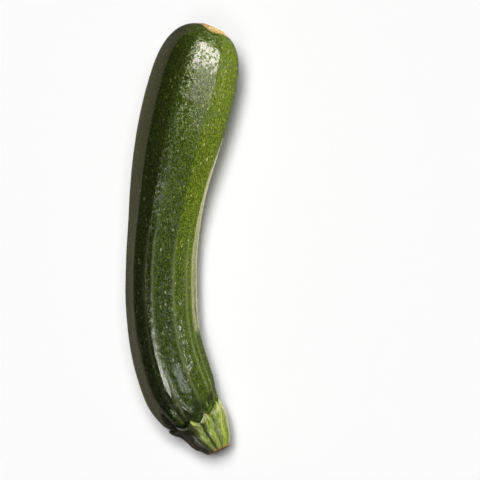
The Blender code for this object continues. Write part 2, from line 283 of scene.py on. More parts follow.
def endFactor(distance):
    # the girth as a share of the body's, down to 0 at both ends
    (stemLength, stemPower), (blossomLength, blossomPower) = fruitShape["stemEnd"], fruitShape["blossomEnd"]
    intoStem = np.clip(1 - distance / stemLength, 0.0, 1.0)
    intoBlossom = np.clip(1 - (fruitLength - distance) / blossomLength, 0.0, 1.0)
    stemSide = (1 - intoStem**stemPower) ** (1 / stemPower)
    return stemSide * (1 - intoBlossom**blossomPower) ** (1 / blossomPower)


def scarPlace(radius, angle):
    # 0 at the middle of the blossom scar and 1 on its edge
    waves = sum(height * np.cos(np.radians(count * angle + start))
                for height, count, start in fruitShape["scarWaves"])
    return radius / (fruitShape["scarRadius"] * (1 + waves))


def scarRelief(place):
    rimHeight, rimPlace, rimWidth = fruitShape["scarRim"]
    depth, reach = fruitShape["scarHollow"]
    return rimHeight * fadeAround(place, rimPlace, rimWidth) - depth * (1 - ease(place, 0.0, reach))


def fruitSurface(angle, distance, lift=0.0):
    # points of the skin; lift is the relief, outward from the centre line
    angle, distance = np.broadcast_arrays(np.asarray(angle, dtype=float), np.asarray(distance, dtype=float))
    station = fruitCurve(distance)
    step = fruitCurve(distance + 0.01)[..., :2] - fruitCurve(distance - 0.01)[..., :2]
    along = step / np.linalg.norm(step, axis=-1, keepdims=True)
    bodyRadius = station[..., 2]
    lowest = bodyRadius * fruitShape["heightRatio"] * ridgeFactor(180.0, distance)
    rise = fruitShape["blossomRise"] * ease(distance, fruitLength - fruitShape["endBend"], fruitLength)
    droop = fruitShape["stemDroop"] * (1 - ease(distance, 0.0, fruitShape["endBend"]))
    centreHeight = lowest - fruitShape["undersideCut"] + rise - droop
    ends = endFactor(distance)
    radius = bodyRadius * ends * ridgeFactor(angle, distance)
    relief = np.where(distance > fruitLength / 2, scarRelief(scarPlace(radius, angle)), 0.0)
    # near an end the relief turns from outward to endward
    onward = np.sqrt(np.clip(1 - ends**2, 0.0, 1.0)) * np.where(distance > fruitLength / 2, 1.0, -1.0)
    relief = relief + lift * onward
    radius = radius + lift * ends
    turn = np.radians(angle)
    sideways = radius * np.sin(turn)
    x = station[..., 0] + along[..., 1] * sideways + along[..., 0] * relief
    y = station[..., 1] - along[..., 0] * sideways + along[..., 1] * relief
    z = centreHeight + radius * fruitShape["heightRatio"] * np.cos(turn)
    shift = fruitShape["originShift"]
    return np.stack((x - shift[0], y - shift[1], np.maximum(z, 0.0)), axis=-1)


def ringDistances(count):
    # rings the same way apart over the body and round both ends
    turns = np.radians(np.linspace(0.0, 90.0, 2000))
    (stemLength, stemPower), (blossomLength, blossomPower) = fruitShape["stemEnd"], fruitShape["blossomEnd"]
    stemEnd = stemLength * (1 - np.cos(turns) ** (2 / stemPower))
    body = np.linspace(stemLength, fruitLength - blossomLength, 2000)[1:-1]
    blossomEnd = fruitLength - blossomLength * (1 - np.cos(turns[::-1]) ** (2 / blossomPower))
    distance = np.concatenate((stemEnd, body, blossomEnd))
    radius = fruitCurve(distance)[:, 2] * endFactor(distance)
    walked = lineLengths(np.stack((distance, radius), axis=-1))
    return np.interp(np.linspace(0.0, walked[-1], count + 2)[1:-1], walked, distance)


def straightened(angle, distance):
    # where a point of the skin would be if the courgette were a straight round rod of its own girth
    girth = fruitCurve(distance)[..., 2] * np.maximum(endFactor(distance), 0.02)
    turn = np.radians(angle)
    return np.stack((girth * np.cos(turn), girth * np.sin(turn), distance), axis=-1)


def sectionAngles():
    # the mesh's lines along the fruit, in degrees from a broad ridge's middle, with one on each ridge edge
    half = fruitShape["broadRidgeHalf"]
    corners = (-half, half, fruitShape["narrowRidgeAngle"], ridgeModule - half)
    spans = zip(corners, corners[1:], fruitShape["sidesPerRidge"])
    angles = np.concatenate([np.linspace(start, end, count + 1)[:-1] for start, end, count in spans])
    return np.concatenate([angles + ridgeModule * k for k in range(fruitShape["broadRidges"])])


def crestDistance(angle, distance):
    # millimetres to the nearest ridge line
    turned = fromBroadRidge(angle, distance)
    narrow = fruitShape["narrowRidgeAngle"]
    toNarrow = np.minimum(narrow - turned, turned + ridgeModule - narrow)
    offCrest = np.minimum(np.abs(np.abs(turned) - fruitShape["broadRidgeHalf"]), toNarrow)
    return np.radians(offCrest) * fruitCurve(distance)[..., 2]


def skinRelief(angle, distance, rod):
    # lumps of three sizes and the swell on the back
    stretched = rod * np.array((1.0, 1.0, fruitShape["reliefStretch"]))
    swellSize, swellHeight = fruitShape["swell"]
    dappleSize, dappleHeight = fruitShape["dapple"]
    leftShare, sideStart, sideEnd = fruitShape["dappleSide"]
    fade = 1 - (1 - fruitShape["dappleAtBlossom"]) * ease(distance, *fruitShape["dappleFade"])
    fade = fade * (leftShare + (1 - leftShare) * ease(withinHalfTurn(angle), sideStart, sideEnd))
    lift = swellHeight * lumps(rod, swellSize, 1) + dappleHeight * fade * lumps(stretched, dappleSize, 3)
    peelSize, peelHeight = fruitShape["peel"]
    peelMiddle, peelLength, rougher = fruitShape["peelPlace"]
    peelHeight = peelHeight * (1 + rougher * fadeAround(distance, peelMiddle, peelLength))
    lift = lift + peelHeight * lumps(stretched, peelSize, 5)
    backMiddle, backLength, backHeight, backAngle = fruitShape["backSwell"]
    onBack = np.maximum(np.cos(np.radians(angle - backAngle)), 0.0) ** 2
    return lift + backHeight * onBack * fadeAround(distance, backMiddle, backLength)


def keepTones(fruit, angle, distance):
    # the skin is a lighter green towards the blossom end and on the right side
    ripe = ease(distance, *fruitShape["lighterPlace"])
    light = fruitShape["lightAtStem"] + (fruitShape["lightAtBlossom"] - fruitShape["lightAtStem"]) * ripe
    rightShare, rightAngle, rightWidth = fruitShape["onRight"]
    onRight = fadeAround(withinHalfTurn(angle - rightAngle), 0.0, rightWidth)
    atStem = fruitShape["onRightAtStem"]
    light = light + rightShare * onRight * (atStem + (1 - atStem) * ripe)
    turnedBack = withinHalfTurn(angle - ridgeSwirl(distance))
    onFlat = ease(turnedBack, *fruitShape["onRightStep"])
    atStem = fruitShape["flatAtStem"]
    light = light + fruitShape["onRightFlat"] * onFlat * (atStem + (1 - atStem) * ripe)
    keepOnMesh(fruit, "lightGreen", light, fruitShape["lightAtStem"], fruitShape["lightAtBlossom"])
    left, body = fruitShape["bareLeft"], fruitShape["bareBody"]
    bare = left + (1 - left) * ease(turnedBack, *fruitShape["bareStep"])
    bare = body + (bare - body) * ease(distance, *fruitShape["bareBlossom"])
    keepOnMesh(fruit, "bareShare", bare, 0.0, 0.0)
    # painted reflection of the pale floor along the ridge on the hollow side
    creamAngle, creamWidth = fruitShape["creamReflection"]
    cream = fadeAround(withinHalfTurn(angle - creamAngle - ridgeSwirl(distance)), 0.0, creamWidth)
    cream = cream * ease(distance, *fruitShape["reflectionStart"]) * (1 - ease(distance, *fruitShape["reflectionEnd"]))
    keepOnMesh(fruit, "creamReflection", cream, 0.0, 0.0)


def makeFruit():
    distances = ringDistances(fruitShape["rings"])[:, None]
    angle = fruitShape["broadRidgeAngle"] + sectionAngles()[None, :] + ridgeSwirl(distances)
    distance = distances + np.zeros_like(angle)
    rod = straightened(angle, distance)
    ends = endFactor(distance)
    offCrest = crestDistance(angle, distance)
    onCrest = fadeAround(offCrest, 0.0, fruitShape["crestWidth"]) * ease(ends, *fruitShape["crestEnds"])
    onCrest = onCrest * (1 - ease(distance, *fruitShape["crestFade"]))
    rounded = 1 - ease(distance, *fruitShape["roundFade"])
    roundReach, roundSlope = fruitShape["crestRound"]
    lift = skinRelief(angle, distance, rod) + fruitShape["crestHeight"] * onCrest * (1 - rounded)
    lift = lift - rounded * roundSlope / (2 * roundReach) * np.maximum(roundReach - offCrest, 0.0) ** 2
    # on the scar the skin's relief gives way to the cork's grain
    radius = fruitCurve(distance)[..., 2] * ends * ridgeFactor(angle, distance)
    place = np.where(distance > fruitLength / 2, scarPlace(radius, angle), fruitShape["offScar"])
    grainSize, grainHeight = fruitShape["corkGrain"]
    grain = lumps(rod + place[..., None], grainSize, 7) * grainHeight
    grain = grain * (1 - ease(place, *fruitShape["corkEdge"]))
    lift = lift * ease(place, *fruitShape["scarEdge"]) + grain - fruitShape["inset"]
    rings = fruitSurface(angle, distance, lift)
    stemPole = fruitSurface(0.0, 0.0, -fruitShape["inset"])
    blossomPole = fruitSurface(0.0, fruitLength, -fruitShape["inset"])
    fruit = closedMesh("courgetteSkin", rings, stemPole, blossomPole)
    # what the material reads
    keepOnMesh(fruit, "straightMm", rod, (0.0, 0.0, 0.0), (0.0, 0.0, fruitLength))
    keepOnMesh(fruit, "crest", onCrest, 0.0, 0.0)
    spread, spreadAngle = fruitShape["corkSpread"]
    corkPlace = place / (1 + spread * np.maximum(np.cos(np.radians(angle - spreadAngle)), 0.0))
    offScar = fruitShape["offScar"]
    keepOnMesh(fruit, "scarPlace", np.minimum(corkPlace, offScar), offScar, 0.0)
    keepTones(fruit, angle, distance)
    # painted shade in the hollows between the stem's feet
    deep = np.zeros_like(distance)
    for x, y, halfWide, halfLong in fruitShape["stemShadePlaces"]:
        away = ((rings[..., 0] - x) / halfWide) ** 2 + ((rings[..., 1] - y) / halfLong) ** 2
        deep = np.maximum(deep, np.exp(-away**1.5) * (rings[..., 2] > fruitShape["stemShadeAbove"]))
    keepOnMesh(fruit, "paintedStemShade", deep, 0.0, 0.0)
    return fruit


# the stem: ten lobes that twist up from a pointed foot to the knife's cut

stemShape = {
    "stations": (  # x, y, z and radius from the foot to the cut
        (6.0, -88.0, 14.2, 13.4), (10.3, -91.4, 14.2, 13.4), (13.0, -96.8, 14.4, 11.8),
        (15.9, -101.3, 14.9, 9.8), (18.4, -106.3, 15.6, 5.8)),
    "grooves": (-36.0, -5.0, 26.0, 68.0, 104.0, 140.0, 176.0, 212.0, 248.0, 286.0),  # between the lobes
    "grooveDepth": 0.13,
    "twist": 19.0,  # how far the lobes turn, and over what share of the stem
    "twistEnd": 0.6,
    "heightRatio": 0.88,
    # how far the foot reaches over the fruit's end, as shares: on the right, on the left and on top
    "reachInside": 0.81,
    "reachOutside": 0.62,
    "reachAbove": 0.67,
    "abovePower": 8,
    "valley": 0.04,  # how much less it reaches in a groove, and how much more on a lobe
    "point": 0.08,
    "rib": (1.0, 0.15),  # the lobes' rise above the foot, and over what share of the stem
    "lift": (0.7, 0.2),  # a further rise on the left
    "spread": (0.50, 1.5),  # how the foot's flare runs into the stem: share of the stem and steepness
    "lead": 0.36,
    "edge": 0.85,  # height of the foot's edge above the skin
    "sink": 0.45,  # how far the hidden underside is set into the fruit
    "undersideShares": (0.985, 0.1, 8),  # from the foot's edge inward, and the number of rings
    "cutHollow": (0.8, 0.7),  # depth and roundness
    "cutShares": (0.06, 0.97, 26),  # from the cut's middle outward, and the number of rings
    "sidesPerLobe": 22,
    "rings": 120,

    # relief
    "inset": 0.10,
    "footFade": 0.08,  # the relief begins over this share of the stem
    "rodRadius": 8.0,  # of the straight rod that the patterns are laid round
    "fibre": (0.75, 0.085),  # width and height of the strands that run up the lobes
    "fibreStretch": 0.12,
    "lump": (2.4, 0.12),
    "cutGrain": (0.8, 0.16),
    "paintedShadeLobes": (200.0, 327.0),  # painted shade: the lobes between these angles, on the side away from the key light, are darkened
    "paintedShadeFade": (20.0, 8.0),
    "paintedRimHighlight": (84.0, 11.0),  # painted highlight: a cream streak along the side that faces the key light: its angle and width
}

stemKnots = lineLengths([station[:3] for station in stemShape["stations"]])
stemLength = stemKnots[-1]
stemCurve = smoothCurve(stemKnots, stemShape["stations"])


def offCrown(lobeAngle):
    # 0 on the crown of a lobe and 1 in the grooves beside it
    edges = np.array(stemShape["grooves"] + (stemShape["grooves"][0] + 360.0,))
    turned = (lobeAngle - edges[0]) % 360.0 + edges[0]
    lobe = np.clip(np.searchsorted(edges, turned, side="right") - 1, 0, len(edges) - 2)
    return np.abs(2 * (turned - edges[lobe]) / (edges[lobe + 1] - edges[lobe]) - 1)


def footDistance(lobeAngle, share):
    # how far from the fruit's tip the foot's edge lies, or a line within it at this share
    turn = np.radians(lobeAngle + stemShape["twist"])
    inside = (1 + np.sin(turn)) / 2
    atSide = stemShape["reachInside"] * inside + stemShape["reachOutside"] * (1 - inside)
    pointed = 1 - np.sin(np.radians(90 * offCrown(lobeAngle)))
    reach = atSide + (stemShape["reachAbove"] - atSide) * np.cos(turn) ** stemShape["abovePower"]
    reach = share * (reach - stemShape["valley"] + (stemShape["valley"] + stemShape["point"]) * pointed)
    endLength, endPower = fruitShape["stemEnd"]
    return endLength * (1 - (1 - reach**endPower) ** (1 / endPower))


def aboveSkin(angle, distance, height):
    # a point this high above the fruit's skin
    across = fruitSurface(angle + 0.5, distance) - fruitSurface(angle - 0.5, distance)
    onward = fruitSurface(angle, distance + 0.01) - fruitSurface(angle, np.maximum(distance - 0.01, 0.0))
    normal = np.cross(across, onward)
    normal /= np.linalg.norm(normal, axis=-1, keepdims=True)
    return fruitSurface(angle, distance) + normal * np.asarray(height)[..., None]


def stemTube(lobeAngle, place):
    # the stem without its flared foot; place is 0 at the foot and 1 at the cut
    distance = place * stemLength
    station = stemCurve(distance)
    along = stemCurve(distance + 0.01)[..., :3] - stemCurve(distance - 0.01)[..., :3]
    along /= np.linalg.norm(along, axis=-1, keepdims=True)
    side = np.stack((-along[..., 1], along[..., 0], np.zeros_like(along[..., 0])), axis=-1)
    side /= np.linalg.norm(side, axis=-1, keepdims=True)
    up = np.cross(along, side)
    turn = np.radians(lobeAngle + stemShape["twist"] * (1 - ease(place, 0.0, stemShape["twistEnd"])))
    lobe = np.sqrt(1 - offCrown(lobeAngle) ** 2)
    radius = station[..., 3] * (1 - stemShape["grooveDepth"] * (1 - lobe))
    sideways = (radius * np.sin(turn))[..., None] * side
    upward = (radius * stemShape["heightRatio"] * np.cos(turn))[..., None] * up
    shift = np.array(fruitShape["originShift"] + (0.0,))
    return station[..., :3] + sideways + upward - shift


def stemSurface(lobeAngle, place):
    # from the foot's edge on the skin into the tube
    turned = lobeAngle + stemShape["twist"]
    ribHeight, ribEnd = stemShape["rib"]
    liftHeight, liftEnd = stemShape["lift"]
    spreadEnd, spreadPower = stemShape["spread"]
    rib = ribHeight * ease(place, 0.0, ribEnd) * np.sqrt(1 - offCrown(lobeAngle) ** 2)
    lift = liftHeight * ease(place, 0.0, liftEnd) * (1 - np.sin(np.radians(turned))) / 2
    edge = aboveSkin(turned, footDistance(lobeAngle, 1.0), stemShape["edge"] + rib + lift)
    spread = (1 - ease(place, 0.0, spreadEnd)) ** spreadPower
    onward = place + stemShape["lead"] * (1 - place) ** 2
    return spread * edge + (1 - spread) * stemTube(lobeAngle, np.full(len(lobeAngle), onward))


def makeStem():
    edges = stemShape["grooves"] + (stemShape["grooves"][0] + 360.0,)
    steps = stemShape["sidesPerLobe"] + 1
    lobeAngle = np.concatenate([np.linspace(a, b, steps)[:-1] for a, b in zip(edges, edges[1:])])
    places = np.linspace(1.0, 0.0, stemShape["rings"])  # from the cut down to the foot
    side = np.array([stemSurface(lobeAngle, place) for place in places])
    outward = side - side.mean(axis=1, keepdims=True)
    outward = outward / np.linalg.norm(outward, axis=-1, keepdims=True)
    # strands and lumps, in coordinates wrapped round a straight rod
    turn = np.radians(lobeAngle)[None, :]
    up = (places * stemLength)[:, None]
    rodRadius = stemShape["rodRadius"]
    rod = np.stack(np.broadcast_arrays(rodRadius * np.cos(turn), rodRadius * np.sin(turn), up), axis=-1)
    fibreWidth, fibreHeight = stemShape["fibre"]
    lumpSize, lumpHeight = stemShape["lump"]
    strands = lumps(rod * np.array((1, 1, stemShape["fibreStretch"])), fibreWidth, 2)
    relief = fibreHeight * strands + lumpHeight * lumps(rod, lumpSize, 4)
    relief = relief * ease(places, 0.0, stemShape["footFade"])[:, None] - stemShape["inset"]
    side = side + outward * relief[..., None]
    # the cut, hollowed towards the fruit
    cutEdge = side[0]
    centre = cutEdge.mean(axis=0)
    inward = side[8].mean(axis=0) - centre  # towards a ring a little lower
    depth, roundness = stemShape["cutHollow"]
    inward *= depth / np.linalg.norm(inward)
    shares = np.linspace(*stemShape["cutShares"])
    face = [centre + (cutEdge - centre) * share + inward * (1 - share) ** roundness for share in shares]
    face = np.array(face)
    grainSize, grainHeight = stemShape["cutGrain"]
    grain = lumps(face, grainSize, 9) * grainHeight * np.sin(np.pi * shares)[:, None]
    face = face + grain[..., None] * inward / depth
    # the underside, hidden in the fruit
    underside = np.array([
        aboveSkin(lobeAngle + stemShape["twist"], footDistance(lobeAngle, share), -stemShape["sink"])
        for share in np.linspace(*stemShape["undersideShares"])])
    tip = aboveSkin(np.zeros(1), np.full(1, 0.05), -stemShape["sink"])[0]
    stem = closedMesh("courgetteStem", np.concatenate((face, side, underside)), centre + inward, tip)
    # what the material reads: how far up, how near a lobe's crown, and how far in on the cut
    above, under = len(face), len(underside)
    crown = np.tile(1 - offCrown(lobeAngle), (above + len(side) + under, 1))
    height = np.concatenate((np.ones(above), places, np.zeros(under)))[:, None] + 0 * crown
    onCut = np.concatenate((1 - shares, np.zeros(len(side) + under)))[:, None] + 0 * crown
    faceRod = rod[:1] * shares[:, None, None]
    wholeRod = np.concatenate((faceRod, rod, np.repeat(rod[-1:], under, axis=0)))
    # painted shade on the lobes turned away from the light, and a painted highlight along the side facing it
    turned = lobeAngle % 360.0
    shadeStart, shadeEnd = stemShape["paintedShadeLobes"]
    startFade, endFade = stemShape["paintedShadeFade"]
    inPaintedShade = ease(turned, shadeStart, shadeStart + startFade) * (1 - ease(turned, shadeEnd - endFade, shadeEnd))
    inPaintedHighlight = fadeAround(turned, *stemShape["paintedRimHighlight"])
    keepOnMesh(stem, "rodMm", wholeRod, (0, 0, stemLength), (0, 0, 0))
    keepOnMesh(stem, "crown", crown, 0.0, 0.0)
    keepOnMesh(stem, "upStem", height, 1.0, 0.0)
    keepOnMesh(stem, "onCut", onCut, 1.0, 0.0)
    keepOnMesh(stem, "paintedShadeLobe", inPaintedShade * (onCut == 0), 0.0, 0.0)
    keepOnMesh(stem, "paintedRimHighlight", inPaintedHighlight * (onCut == 0), 0.0, 0.0)
    return stem


waxySkin = {
    # courgette skin: a thin natural wax over deep green, glossy wherever its fine relief catches a light
    "dark": "#273910",
    "light": "#566e0f",
    "darkFleck": "#566d2d",
    "lightFleck": "#9ab244",
    "darkPore": "#93a468",
    "lightPore": "#ccd983",
    "bigPore": "#dfe8c0",
    # painted shade in the pits
    "pit": "#34431c",
    "crestLine": "#93a070",
    # painted reflection of the pale floor
    "cream": "#d8cfa0",
    # painted shade between the stem's feet
    "deep": "#242e18",
    "cork": "#e2a63c",
    "corkPale": "#ffeeb4",
    "corkDark": "#7a4a1c",
    "cloud": (9.0, 0.6, -0.3),  # broad changes between the two greens: size, contrast and offset
    "drawnOut": 0.5,  # flecks and pores are twice as long as wide
    "fleckSize": 0.48,  # fine flecks stand about a millimetre apart
    "fleckEdge": (0.47, 0.62),
    # pale pores less than a millimetre wide, one to a cell: the cell's width, the share of them that stays
    # smallest, the smallest and the largest radius as shares of the cell, and how strongly they show
    "smallPores": (2.1, 0.2, 0.04, 0.22, 0.95),
    "bigPores": (2.8, 0.3, 0.04, 0.17, 0.75),
    "pitSize": 2.6,  # the pits follow the contour lines of lumps this wide
    "pitBend": 0.6,
    "pitEdge": (0.11, 0.07),  # how far off the contour line, in noise values, a pit begins and is full
    "pitGap": (1 / 0.7, 0.44, 0.52),  # gaps along the pits: size, and the noise values between which they end
    "pitDepth": 0.06,
    "pitShade": 0.6,  # how strongly this colour and the next two show
    "crestShade": 0.5,
    "deepShade": 0.85,
    "corkFibre": (1 / 1.1, 0.42, 0.6),  # size, and the noise values between which it turns pale
    "corkInner": (0.5, 0.1),  # darker between these shares of the scar's radius
    "corkEdge": (1.42, 1.2),  # the cork ends between these, once this much of its grain is added
    "corkRagged": 0.5,
    "waxRoughness": 0.13,
    "bareRoughness": 0.68,  # skin without its wax
    "corkRoughness": 0.85,
    "ior": 1.45,  # plant wax
}


def makeSkinMaterial():
    m = waxySkin
    material, shader = newMaterial("waxyCourgetteSkin")
    tree = material.node_tree
    rod = addNode(tree, "Attribute", {"attribute_name": "straightMm"}).outputs["Vector"]
    kept = {}
    for name in ("crest", "scarPlace", "lightGreen", "creamReflection", "bareShare", "paintedStemShade"):
        kept[name] = addNode(tree, "Attribute", {"attribute_name": name}).outputs["Fac"]
    # two greens that run into each other in broad clouds
    drawn = addNode(tree, "VectorMath", times, {0: rod, 1: (1.0, 1.0, m["drawnOut"])}).outputs["Vector"]
    size, contrast, offset = m["cloud"]
    cloud = addNode(tree, "TexNoise", None, {"Vector": drawn, "Scale": 1 / size, "Detail": 2.0})
    lightShare = addNode(tree, "Math", {"operation": "MULTIPLY_ADD", "use_clamp": True},
                         {0: cloud.outputs["Fac"], 1: contrast, 2: offset}).outputs["Value"]
    lightShare = addNode(tree, "Math", {"operation": "ADD", "use_clamp": True},
                         {0: lightShare, 1: kept["lightGreen"]}).outputs["Value"]
    greens = {}
    for dark, light in (("dark", "light"), ("darkFleck", "lightFleck"), ("darkPore", "lightPore")):
        greens[dark] = addNode(tree, "Mix", inColour,
                               {"Factor": lightShare, 6: toLinear(m[dark]), 7: toLinear(m[light])}).outputs[2]
    # fine flecks that run together
    fine = addNode(tree, "TexNoise", None,
                   {"Vector": drawn, "Scale": 1 / m["fleckSize"], "Detail": 1.0, "Roughness": 0.5})
    low, high = m["fleckEdge"]
    flecks = addNode(tree, "MapRange", smooth,
                     {"Value": fine.outputs["Fac"], "From Min": low, "From Max": high}).outputs["Result"]
    coloured = addNode(tree, "Mix", inColour,
                       {"Factor": flecks, 6: greens["dark"], 7: greens["darkFleck"]}).outputs[2]
    # pores of two sizes, each pore with a width of its own
    for pores, colour in (("smallPores", greens["darkPore"]), ("bigPores", toLinear(m["bigPore"]))):
        size, steady, smallest, largest, strength = m[pores]
        cells = addNode(tree, "TexVoronoi", None, {"Vector": drawn, "Scale": 1 / size})
        pick = addNode(tree, "SeparateColor", None, {"Color": cells.outputs["Color"]})
        radius = addNode(tree, "MapRange", None, {
            "Value": pick.outputs["Green"], "From Min": steady, "To Min": smallest, "To Max": largest})
        inside = addNode(tree, "Math", {"operation": "LESS_THAN"},
                         {0: cells.outputs["Distance"], 1: radius.outputs["Result"]})
        share = addNode(tree, "Math", times, {0: inside.outputs["Value"], 1: strength})
        coloured = addNode(tree, "Mix", inColour,
                           {"Factor": share.outputs["Value"], 6: coloured, 7: colour}).outputs[2]
    # wandering pits without wax, dull and a little sunk, drawn along the contour lines of a noise
    winding = addNode(tree, "TexNoise", None,
                      {"Vector": rod, "Scale": 1 / m["pitSize"], "Detail": 0.0, "Distortion": m["pitBend"]})
    away = addNode(tree, "Math", {"operation": "SUBTRACT"}, {0: winding.outputs["Fac"], 1: 0.5})
    away = addNode(tree, "Math", {"operation": "ABSOLUTE"}, {0: away.outputs["Value"]})
    low, high = m["pitEdge"]
    pits = addNode(tree, "MapRange", smooth,
                   {"Value": away.outputs["Value"], "From Min": low, "From Max": high}).outputs["Result"]
    size, low, high = m["pitGap"]
    gaps = addNode(tree, "TexNoise", None, {"Vector": rod, "Scale": 1 / size, "Detail": 1.0})
    unbroken = addNode(tree, "MapRange", smooth,
                       {"Value": gaps.outputs["Fac"], "From Min": low, "From Max": high}).outputs["Result"]
    for share in (unbroken, kept["bareShare"]):
        pits = addNode(tree, "Math", times, {0: pits, 1: share}).outputs["Value"]
    # these lie over the flecks and pores, in this order: painted shade in the pits, the pale ridge lines, a
    # painted reflection in cream, and painted shade between the stem's feet
    for share, strength, colour in (
            (pits, m["pitShade"], "pit"), (kept["crest"], m["crestShade"], "crestLine"),
            (kept["creamReflection"], 1.0, "cream"), (kept["paintedStemShade"], m["deepShade"], "deep")):
        shown = addNode(tree, "Math", times, {0: share, 1: strength})
        coloured = addNode(tree, "Mix", inColour,
                           {"Factor": shown.outputs["Value"], 6: coloured, 7: toLinear(m[colour])}).outputs[2]
    # the corky scar where the flower dropped off
    size, low, high = m["corkFibre"]
    grain = addNode(tree, "TexNoise", None, {"Vector": rod, "Scale": 1 / size, "Detail": 4.0})
    ragged = addNode(tree, "Math", {"operation": "MULTIPLY_ADD"},
                     {0: grain.outputs["Fac"], 1: m["corkRagged"], 2: kept["scarPlace"]}).outputs["Value"]
    shares = []
    for value, start, end in ((grain.outputs["Fac"], low, high), (kept["scarPlace"], *m["corkInner"]),
                              (ragged, *m["corkEdge"])):
        share = addNode(tree, "MapRange", smooth, {"Value": value, "From Min": start, "From Max": end})
        shares.append(share.outputs["Result"])
    fibre, inner, onScar = shares
    cork = addNode(tree, "Mix", inColour,
                   {"Factor": fibre, 6: toLinear(m["cork"]), 7: toLinear(m["corkPale"])}).outputs[2]
    cork = addNode(tree, "Mix", inColour, {"Factor": inner, 6: cork, 7: toLinear(m["corkDark"])}).outputs[2]
    coloured = addNode(tree, "Mix", inColour, {"Factor": onScar, 6: coloured, 7: cork})
    rough = addNode(tree, "MapRange", None,
                    {"Value": pits, "To Min": m["waxRoughness"], "To Max": m["bareRoughness"]})
    rough = addNode(tree, "Mix", None, {"Factor": onScar, 2: rough.outputs["Result"], 3: m["corkRoughness"]})
    sunk = addNode(tree, "Bump", {"invert": True},
                   {"Strength": 1.0, "Distance": m["pitDepth"] * mm, "Height": pits})
    shader.inputs["IOR"].default_value = m["ior"]
    tree.links.new(coloured.outputs[2], shader.inputs["Base Color"])
    tree.links.new(rough.outputs[0], shader.inputs["Roughness"])
    tree.links.new(sunk.outputs["Normal"], shader.inputs["Normal"])
    return material


fibrousStem = {
    # the fleshy stem stub: green and yellow-green strands, satin where fresh and dry where cut
    "groove": "#33500a",
    "flank": "#94b434",
    "crown": "#dae588",
    "dark": "#272d16",  # painted shade on the lobes on the side away from the key light
    # painted highlights: the cream streak on the lit side and the spots on the feet
    "pale": "#eef0cc",
    "cutEdge": "#b98548",
    "cutMiddle": "#cdb088",
    "strandWidth": 0.6,
    "glintSpotWidth": 0.45,  # painted highlights: pale spots on the feet of the lobes
    "drawnOut": 0.26,  # strands and spots are four times as long as wide
    "strandEdge": (0.40, 0.64),
    "glintSpotEdge": (0.48, 0.60),
    "streak": (0.6, 0.3),  # how much more the strands show on a crown, and how much they show anywhere
    "rimHighlightShare": 0.6,
    # where the painted glints on the feet, the brown rim of the cut and its dry face begin, where they are
    # full, and how strong
    "paintedFootGlints": (0.5, 0.05, 0.9),
    "nearCut": (0.93, 1.0, 0.8),
    "insideCut": (0.02, 0.35, 1.0),
    "strandDepth": 0.3,
    "strandStrength": 0.4,
    "roughness": 0.3,
    "cutRoughness": 0.8,
}


def makeStemMaterial():
    m = fibrousStem
    material, shader = newMaterial("fibrousStem")
    tree = material.node_tree
    rod = addNode(tree, "Attribute", {"attribute_name": "rodMm"}).outputs["Vector"]
    kept = {}
    for name in ("crown", "upStem", "onCut", "paintedShadeLobe", "paintedRimHighlight"):
        kept[name] = addNode(tree, "Attribute", {"attribute_name": name}).outputs["Fac"]
    drawn = addNode(tree, "VectorMath", times, {0: rod, 1: (1.0, 1.0, m["drawnOut"])}).outputs["Vector"]
    patterns = []
    for width, detail, gain, (low, high) in (
            (m["strandWidth"], 3.0, 0.6, m["strandEdge"]), (m["glintSpotWidth"], 1.0, 0.5, m["glintSpotEdge"])):
        cloud = addNode(tree, "TexNoise", None,
                        {"Vector": drawn, "Scale": 1 / width, "Detail": detail, "Roughness": gain})
        pattern = addNode(tree, "MapRange", smooth,
                          {"Value": cloud.outputs["Fac"], "From Min": low, "From Max": high})
        patterns.append(pattern.outputs["Result"])
    strands, glintSpots = patterns
    shares = []
    for name, source in (("paintedFootGlints", "upStem"), ("nearCut", "upStem"), ("insideCut", "onCut")):
        low, high, most = m[name]
        share = addNode(tree, "MapRange", smooth,
                        {"Value": kept[source], "From Min": low, "From Max": high, "To Max": most})
        shares.append(share.outputs["Result"])
    paintedFootGlints, nearCut, insideCut = shares
    more, anywhere = m["streak"]
    streak = addNode(tree, "Math", {"operation": "MULTIPLY_ADD"},
                     {0: kept["crown"], 1: more, 2: anywhere}).outputs["Value"]
    streak = addNode(tree, "Math", times, {0: strands, 1: streak}).outputs["Value"]
    # painted highlight along the side facing the key light
    edge = addNode(tree, "Math", times, {0: kept["paintedRimHighlight"], 1: m["rimHighlightShare"]}).outputs["Value"]
    lit = addNode(tree, "Math", {"operation": "SUBTRACT"}, {0: 1.0, 1: kept["paintedShadeLobe"]})
    for share in (glintSpots, kept["crown"], lit.outputs["Value"]):
        paintedFootGlints = addNode(tree, "Math", times, {0: paintedFootGlints, 1: share}).outputs["Value"]
    colour = addNode(tree, "Mix", inColour,
                     {"Factor": kept["crown"], 6: toLinear(m["groove"]), 7: toLinear(m["flank"])}).outputs[2]
    # each of these lies over the ones before it: painted shade on the lobes away from the light, painted
    # highlights on the rim and the feet, then the cut
    for share, over in ((streak, "crown"), (kept["paintedShadeLobe"], "dark"), (edge, "pale"), (paintedFootGlints, "pale"),
                        (nearCut, "cutEdge"), (insideCut, "cutMiddle")):
        colour = addNode(tree, "Mix", inColour,
                         {"Factor": share, 6: colour, 7: toLinear(m[over])}).outputs[2]
    rough = addNode(tree, "MapRange", None,
                    {"Value": insideCut, "To Min": m["roughness"], "To Max": m["cutRoughness"]})
    raised = addNode(tree, "Bump", None,
                     {"Strength": m["strandStrength"], "Distance": m["strandDepth"] * mm, "Height": strands})
    tree.links.new(colour, shader.inputs["Base Color"])
    tree.links.new(rough.outputs["Result"], shader.inputs["Roughness"])
    tree.links.new(raised.outputs["Normal"], shader.inputs["Normal"])
    return material


